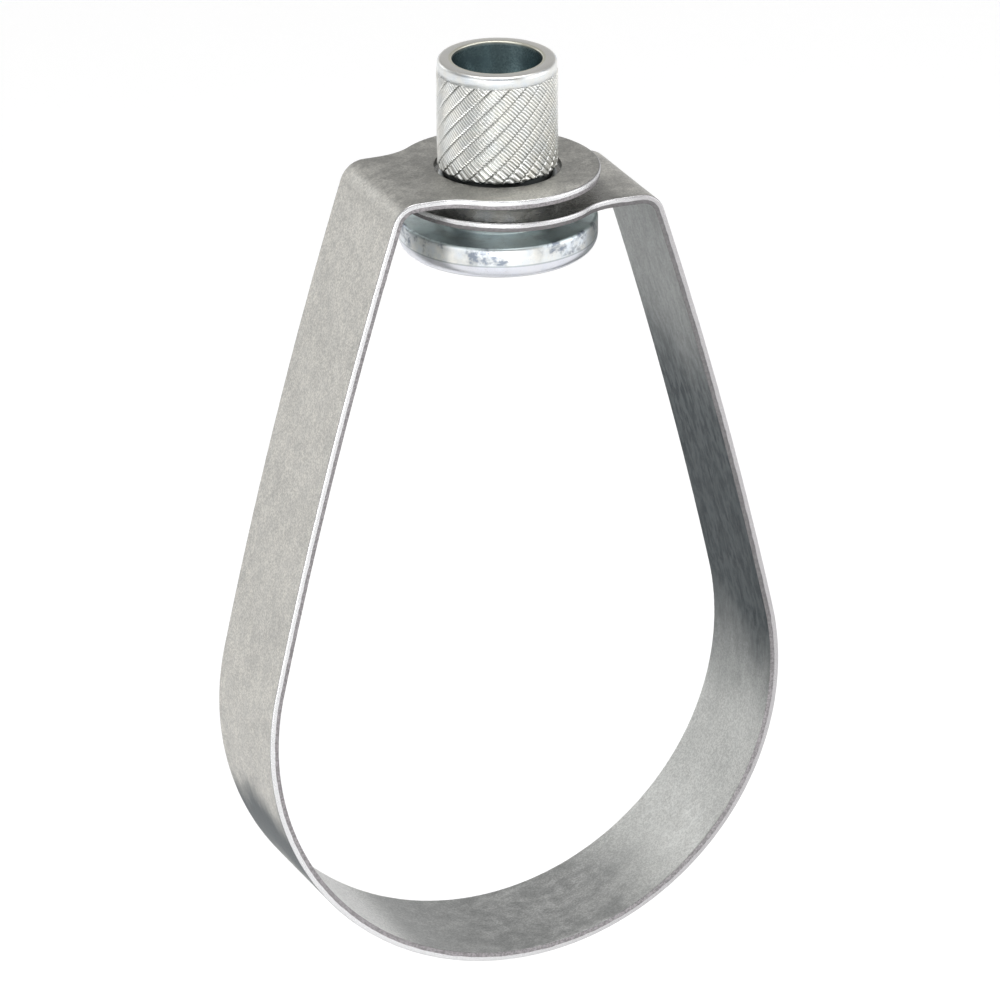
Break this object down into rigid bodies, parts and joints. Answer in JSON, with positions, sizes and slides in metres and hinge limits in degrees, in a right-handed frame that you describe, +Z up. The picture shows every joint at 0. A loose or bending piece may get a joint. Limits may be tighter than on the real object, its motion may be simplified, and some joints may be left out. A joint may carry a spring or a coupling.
{
  "type": "swivel ring hanger",
  "caption": "Teardrop strip loop that hangs a pipe from a threaded rod, its lapped pierced ends turning on a knurled flanged nut.",
  "frame": {"origin": "on the nut's bore axis, level with the top face of its flange, inside the tapped length", "axes": "+Z up the rod, X across the loop, Y along the pipe"},
  "size_m": [0.064, 0.0234, 0.1092],
  "materials": {
    "galvanised_strip": "galvanised, matt, fine grain",
    "zinc_plated_nut": "bright zinc plate"
  },
  "bodies": {
    "nut": {"swivel_nut": "zinc_plated_nut"},
    "ring": {"ring_band": "galvanised_strip"}
  },
  "joints": [
    {"name": "ring_swivel", "type": "hinge", "parent": "nut", "child": "ring", "pos_m": [0, 0, 0], "axis": [0, 0, 1], "continuous": true}
  ]
}
